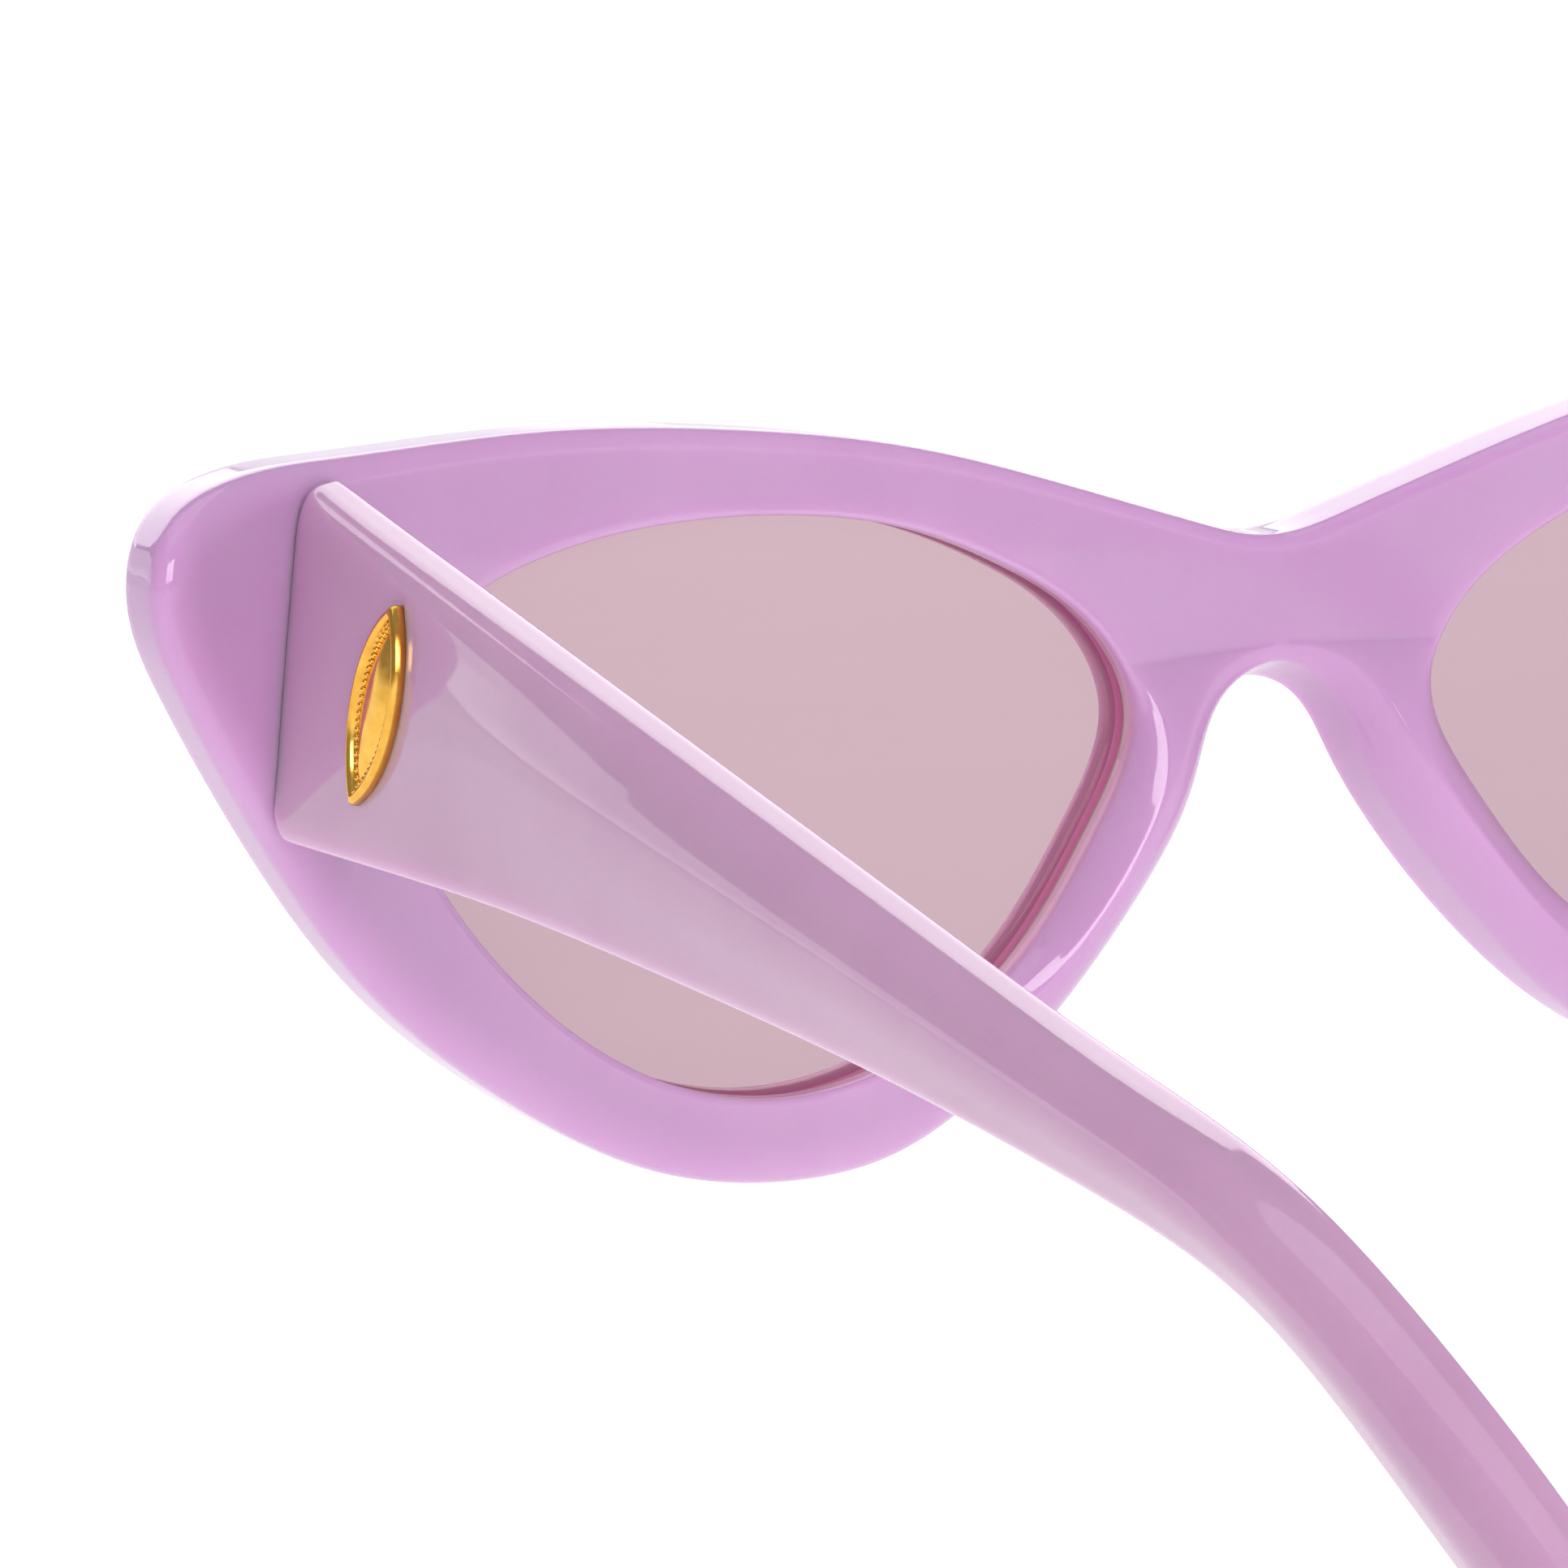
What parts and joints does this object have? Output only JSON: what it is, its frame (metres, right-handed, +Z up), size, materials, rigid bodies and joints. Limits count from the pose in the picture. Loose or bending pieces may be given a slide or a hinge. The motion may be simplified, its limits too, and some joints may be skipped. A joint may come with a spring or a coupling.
{
  "type": "cat eye sunglasses",
  "caption": "Upswept cat eye sunglasses in milky lilac acetate with mauve lenses, built-up nose pads, faceted temples on barrel hinges and a small gold side ornament.",
  "frame": {"origin": "on the surface the open glasses stand on, under the middle of their box", "axes": "+X to the wearer's left, +Y back along the temples, +Z up"},
  "size_m": [0.15, 0.157, 0.0431],
  "materials": {
    "acetate": "milky translucent lilac cellulose acetate, polished",
    "lens_tint": "flat mauve tint",
    "gold": "polished gold plate",
    "hinge_metal": "nickel-silver, satin",
    "nickel_silver": "drawn wire",
    "screw_steel": "turned, bright"
  },
  "bodies": {
    "front": {"front_frame": "acetate", "lens_left": "lens_tint", "lens_right": "lens_tint", "nose_pad_left": "acetate", "nose_pad_right": "acetate", "front_hinge_leaf_left": "hinge_metal", "front_hinge_fixing_screws_left": "screw_steel", "hinge_screw_left": "screw_steel", "front_hinge_leaf_right": "hinge_metal", "front_hinge_fixing_screws_right": "screw_steel", "hinge_screw_right": "screw_steel"},
    "temple_left": {"temple_left": "acetate", "temple_core_wire_left": "nickel_silver", "temple_hinge_leaf_left": "hinge_metal", "temple_hinge_fixing_screws_left": "screw_steel", "emblem_left": "gold"},
    "temple_right": {"temple_right": "acetate", "temple_core_wire_right": "nickel_silver", "temple_hinge_leaf_right": "hinge_metal", "temple_hinge_fixing_screws_right": "screw_steel", "emblem_right": "gold"}
  },
  "joints": [
    {"name": "temple_left_fold", "type": "hinge", "parent": "front", "child": "temple_left", "pos_m": [0.0611, -0.05787, 0.03359], "axis": [0, 0, 1], "range_deg": [0, 91]},
    {"name": "temple_right_fold", "type": "hinge", "parent": "front", "child": "temple_right", "pos_m": [-0.0611, -0.05787, 0.03359], "axis": [0, 0, -1], "range_deg": [0, 84]}
  ]
}
